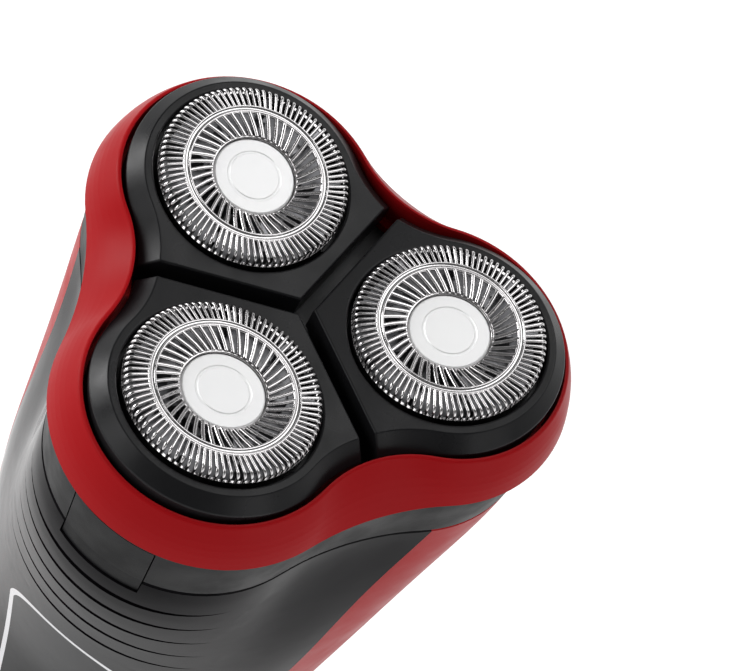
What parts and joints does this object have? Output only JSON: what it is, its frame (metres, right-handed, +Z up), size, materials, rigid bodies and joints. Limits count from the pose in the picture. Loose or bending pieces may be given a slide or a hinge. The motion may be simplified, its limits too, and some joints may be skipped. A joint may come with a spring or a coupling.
{
  "type": "electric shaver",
  "caption": "Upright rotary shaver with a dished head of round slotted foils in a coloured band, which flips back on a hinge, on a tapered grip with front keys.",
  "frame": {"origin": "middle of the flat base, on the axis of the shaving head", "axes": "+Z up along the body towards the foils, -Y towards the front with the keys, +X to the right seen from the front"},
  "size_m": [0.0646, 0.0609, 0.1581],
  "materials": {
    "red_satin": "satin red moulding",
    "black_gloss": "high gloss black",
    "window_gloss": "dark glossy window",
    "lobe_black": "fine satin texture",
    "neck_black": "fine matte texture",
    "foil_steel": "polished slotted steel",
    "disc_steel": "pale satin metal",
    "cutter_steel": "ground steel",
    "hub_plastic": "plain moulding",
    "pin_steel": "plain pin",
    "screw_steel": "plated",
    "spindle_plastic": "plain moulding",
    "gear_plastic": "natural moulding",
    "pinion_brass": "cut brass",
    "frame_plastic": "plain moulding",
    "seal_rubber": "soft rubber",
    "motor_steel": "drawn can",
    "magnet": "ferrite",
    "rotor_steel": "laminated core",
    "tag_brass": "tinned",
    "cell_wrap": "shrink sleeve",
    "cell_tab": "nickel strip",
    "board_green": "coated laminate",
    "chip_black": "moulded parts",
    "trim_chrome": "bright plated",
    "button_chrome": "satin plated",
    "inlet_black": "plain moulding"
  },
  "bodies": {
    "body": {"base_cap": "neck_black", "battery_cell": "cell_wrap", "battery_tabs": "cell_tab", "board_parts": "chip_black", "chamber_floor": "frame_plastic", "chassis": "frame_plastic", "circuit_board": "board_green", "front_panel": "window_gloss", "front_shell": "black_gloss", "gear_plate": "frame_plastic", "gear_screws": "screw_steel", "hinge_pin": "pin_steel", "inlet_pins": "tag_brass", "inlet_shell": "inlet_black", "motor_can": "motor_steel", "motor_cap": "hub_plastic", "motor_magnets": "magnet", "motor_screws": "screw_steel", "motor_tags": "tag_brass", "neck_collar": "neck_black", "panel_trim": "trim_chrome", "power_switch": "chip_black", "rear_shell": "red_satin", "spindle_seals": "seal_rubber"},
    "shaving_head": {"head_ring": "red_satin", "head_frame": "frame_plastic", "tilt_pins": "pin_steel"},
    "release_key": {"release_button": "neck_black"},
    "power_key": {"power_button": "button_chrome"},
    "rotor": {"rotor": "rotor_steel", "pinion": "pinion_brass"},
    "lobe_front": {"lobe_front": "lobe_black", "foil_front": "foil_steel", "hub_disc_front": "disc_steel"},
    "cutter_front": {"cutter_front": "cutter_steel", "cutter_hub_front": "hub_plastic"},
    "drive_front": {"spindle_front": "spindle_plastic", "gear_front": "gear_plastic"},
    "lobe_right": {"lobe_right": "lobe_black", "foil_right": "foil_steel", "hub_disc_right": "disc_steel"},
    "cutter_right": {"cutter_right": "cutter_steel", "cutter_hub_right": "hub_plastic"},
    "drive_right": {"spindle_right": "spindle_plastic", "gear_right": "gear_plastic"},
    "lobe_left": {"lobe_left": "lobe_black", "foil_left": "foil_steel", "hub_disc_left": "disc_steel"},
    "cutter_left": {"cutter_left": "cutter_steel", "cutter_hub_left": "hub_plastic"},
    "drive_left": {"spindle_left": "spindle_plastic", "gear_left": "gear_plastic"}
  },
  "joints": [
    {"name": "head_flip", "type": "hinge", "parent": "body", "child": "shaving_head", "pos_m": [0, 0.0246, 0.1452], "axis": [-1, 0, 0], "range_deg": [0, 95]},
    {"name": "release_push", "type": "slide", "parent": "body", "child": "release_key", "axis": [0, 1, 0], "range_m": [0, 0.0012], "stiffness_N_per_m": 600, "springref_m": -0.0008},
    {"name": "power_push", "type": "slide", "parent": "body", "child": "power_key", "axis": [0, 1, 0], "range_m": [0, 0.0006], "stiffness_N_per_m": 900, "springref_m": -0.0005},
    {"name": "motor_spin", "type": "hinge", "parent": "body", "child": "rotor", "pos_m": [0, 0, 0.12], "axis": [0, 0, 1], "continuous": true},
    {"name": "tilt_front", "type": "hinge", "parent": "shaving_head", "child": "lobe_front", "pos_m": [0, -0.01742, 0.14904], "axis": [1, 0, 0], "range_deg": [-3, 3], "stiffness_Nm_per_rad": 0.03},
    {"name": "cutter_spin_front", "type": "hinge", "parent": "lobe_front", "child": "cutter_front", "pos_m": [0, -0.01669, 0.156], "axis": [0, 0.1045, 0.9945], "continuous": true},
    {"name": "drive_spin_front", "type": "hinge", "parent": "body", "child": "drive_front", "pos_m": [0, -0.0172, 0.135], "axis": [0, 0, 1], "continuous": true},
    {"name": "tilt_right", "type": "hinge", "parent": "shaving_head", "child": "lobe_right", "pos_m": [0.01509, 0.00871, 0.14904], "axis": [-0.5, 0.866, 0], "range_deg": [-3, 3], "stiffness_Nm_per_rad": 0.03},
    {"name": "cutter_spin_right", "type": "hinge", "parent": "lobe_right", "child": "cutter_right", "pos_m": [0.01445, 0.00834, 0.156], "axis": [-0.0905, -0.0523, 0.9945], "continuous": true},
    {"name": "drive_spin_right", "type": "hinge", "parent": "body", "child": "drive_right", "pos_m": [0.0149, 0.0086, 0.135], "axis": [0, 0, 1], "continuous": true},
    {"name": "tilt_left", "type": "hinge", "parent": "shaving_head", "child": "lobe_left", "pos_m": [-0.01509, 0.00871, 0.14904], "axis": [-0.5, -0.866, 0], "range_deg": [-3, 3], "stiffness_Nm_per_rad": 0.03},
    {"name": "cutter_spin_left", "type": "hinge", "parent": "lobe_left", "child": "cutter_left", "pos_m": [-0.01445, 0.00834, 0.156], "axis": [0.0905, -0.0523, 0.9945], "continuous": true},
    {"name": "drive_spin_left", "type": "hinge", "parent": "body", "child": "drive_left", "pos_m": [-0.0149, 0.0086, 0.135], "axis": [0, 0, 1], "continuous": true}
  ],
  "couplings": [
    {"joint": "drive_spin_front", "follows": "motor_spin", "ratio": -0.43333},
    {"joint": "cutter_spin_front", "follows": "motor_spin", "ratio": -0.43333},
    {"joint": "drive_spin_right", "follows": "motor_spin", "ratio": -0.43333},
    {"joint": "cutter_spin_right", "follows": "motor_spin", "ratio": -0.43333},
    {"joint": "drive_spin_left", "follows": "motor_spin", "ratio": -0.43333},
    {"joint": "cutter_spin_left", "follows": "motor_spin", "ratio": -0.43333}
  ]
}
